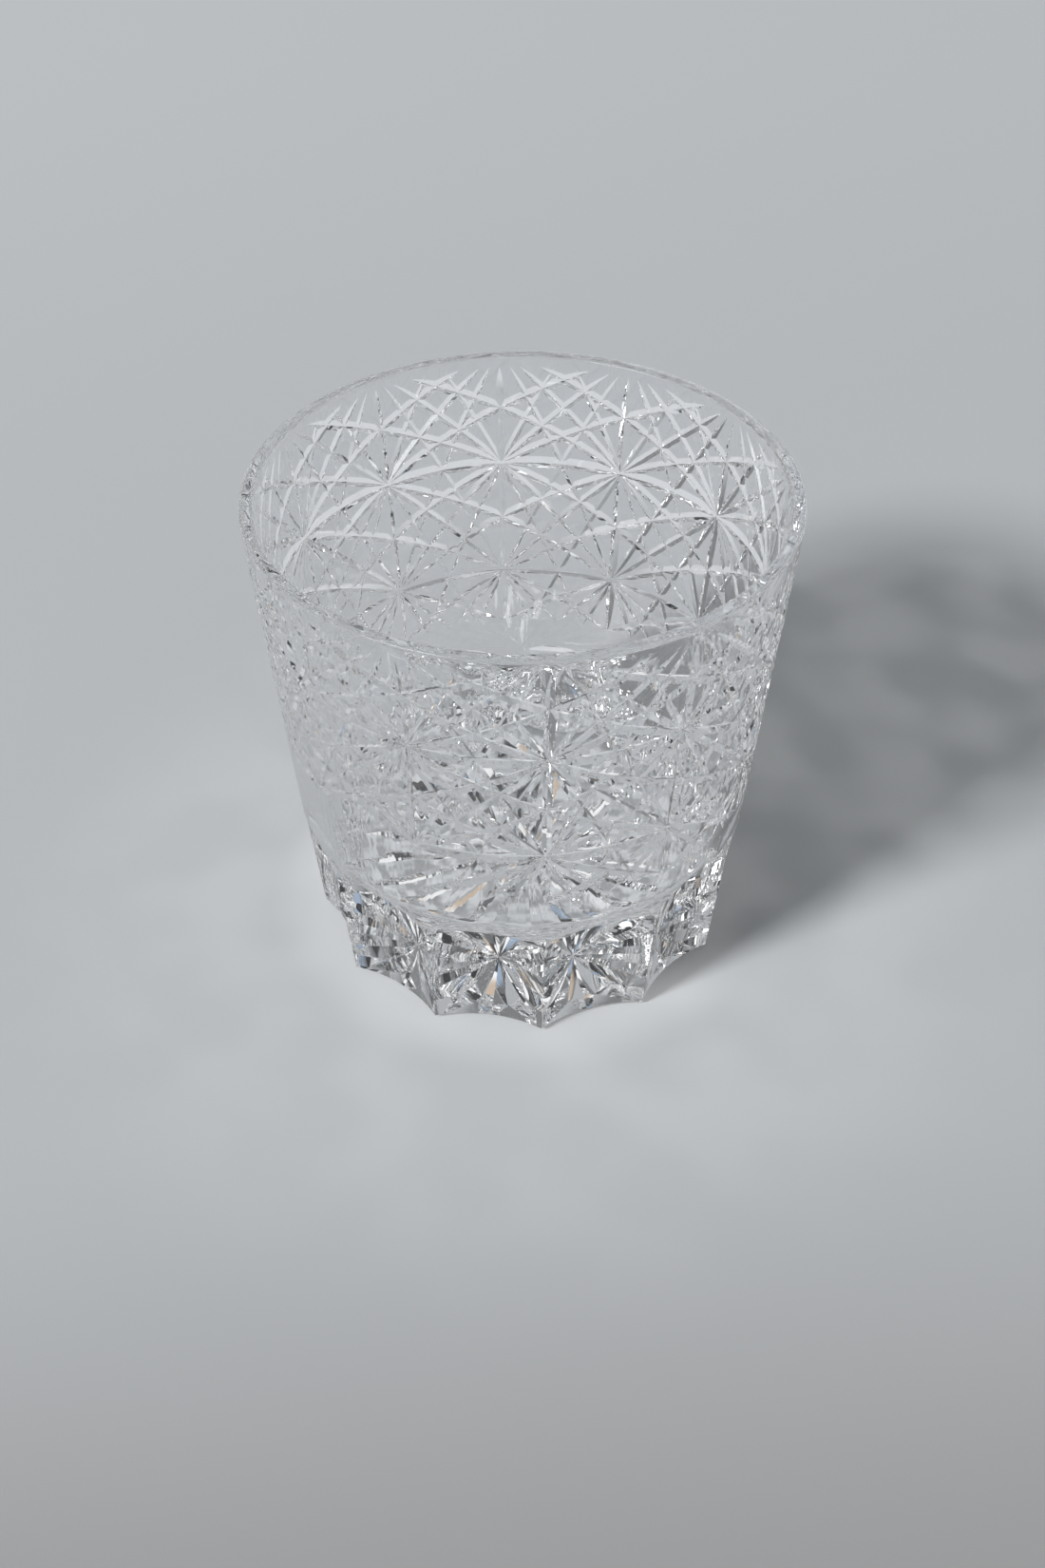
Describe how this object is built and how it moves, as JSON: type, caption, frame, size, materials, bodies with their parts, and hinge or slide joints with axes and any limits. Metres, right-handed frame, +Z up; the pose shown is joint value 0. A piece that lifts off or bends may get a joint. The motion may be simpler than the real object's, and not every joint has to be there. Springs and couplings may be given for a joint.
{
  "type": "rocks glass",
  "caption": "Tapered cut-crystal rocks glass with a star-lattice wall, concave flutes round a thick foot and a star cut under the base.",
  "frame": {"origin": "centre of the foot, on the plane that the glass stands on", "axes": "+Z up along the axis of the glass; a column of stars and a ridge of the foot face -Y"},
  "size_m": [0.088, 0.088, 0.0844],
  "materials": {
    "crystal": "polished colourless lead-free crystal, wheel-cut and fire-bright"
  },
  "bodies": {
    "root": {"tumbler": "crystal"}
  },
  "joints": []
}
